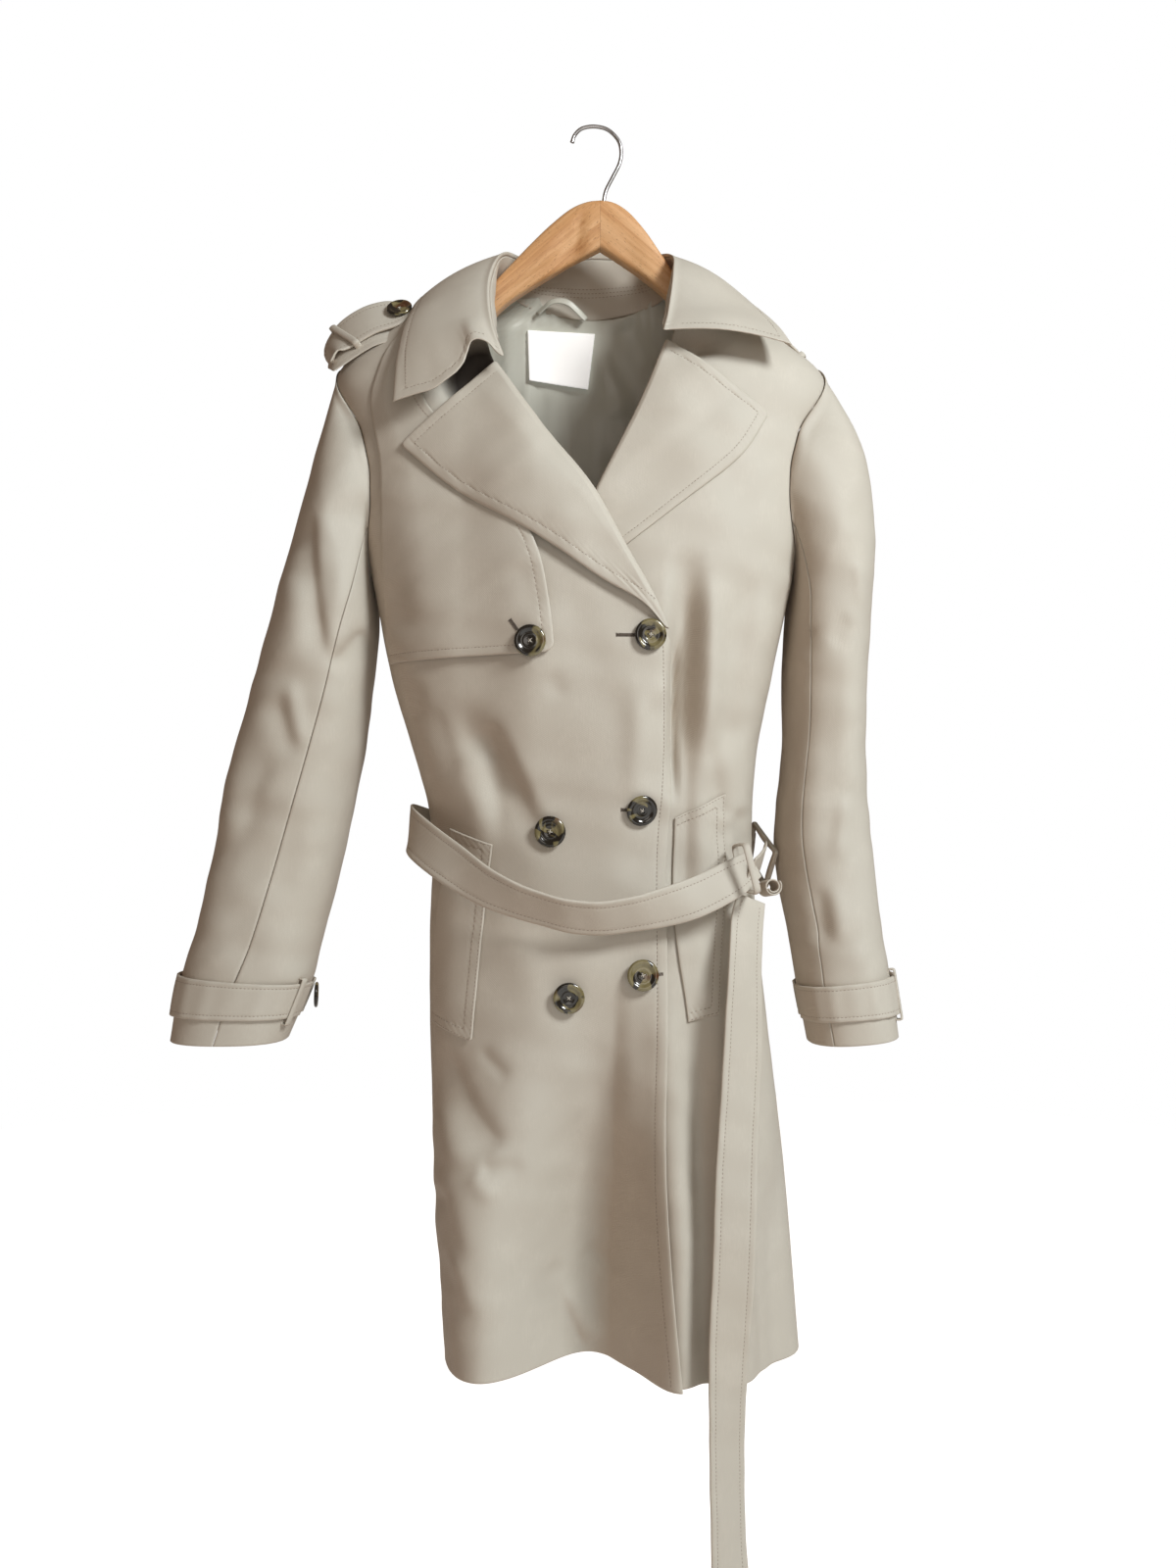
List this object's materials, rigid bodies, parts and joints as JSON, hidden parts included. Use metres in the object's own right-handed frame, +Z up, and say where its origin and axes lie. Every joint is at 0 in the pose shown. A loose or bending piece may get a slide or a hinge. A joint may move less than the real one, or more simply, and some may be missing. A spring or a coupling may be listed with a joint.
{
  "type": "trench coat on a wooden hanger",
  "caption": "Double-breasted trench coat of stone gabardine with lapels, storm shield and a slack tie belt, hung on a beech hanger with a chrome hook.",
  "frame": {"origin": "Inside top of the hanger's hook, where it rests on what it hangs from", "axes": "+Z up, the coat's front faces -Y, the wearer's left is at +X"},
  "size_m": [0.6801, 0.2494, 1.3896],
  "materials": {
    "gabardine": "fine twill cotton gabardine with a slight sheen",
    "satin": "smooth satin lining",
    "label_white": "plain woven blank label",
    "horn": "polished mottled imitation horn",
    "beech": "clear-lacquered steamed beech",
    "chrome": "bright chromed wire"
  },
  "bodies": {
    "root": {"front_right": "gabardine", "front_left": "gabardine", "back_right": "gabardine", "back_left": "gabardine", "storm_shield": "gabardine", "gun_flap_right": "gabardine", "lapel_right": "gabardine", "lapel_left": "gabardine", "pocket_right": "gabardine", "pocket_left": "gabardine", "collar_fall": "gabardine", "collar_stand": "gabardine", "sleeve_right_upper": "gabardine", "sleeve_right_under": "gabardine", "sleeve_left_upper": "gabardine", "sleeve_left_under": "gabardine", "epaulette_right": "gabardine", "epaulette_left": "gabardine", "epaulette_loop_right": "gabardine", "epaulette_loop_left": "gabardine", "cuff_strap_right": "gabardine", "cuff_strap_left": "gabardine", "cuff_loop_right": "gabardine", "cuff_loop_left": "gabardine", "belt_round": "gabardine", "belt_tail": "gabardine", "belt_buckle": "gabardine", "belt_roll": "gabardine", "belt_keeper": "gabardine", "belt_loop_right": "gabardine", "belt_loop_left": "gabardine", "hang_loop": "gabardine", "lining_back": "satin", "label": "label_white", "button_front_1": "horn", "button_front_2": "horn", "button_front_3": "horn", "button_front_4": "horn", "button_front_5": "horn", "button_flap": "horn", "button_epaulette_right": "horn", "button_epaulette_left": "horn", "button_cuff_right": "horn", "button_cuff_left": "horn", "hanger_body": "beech", "hanger_hook": "chrome"}
  },
  "joints": []
}
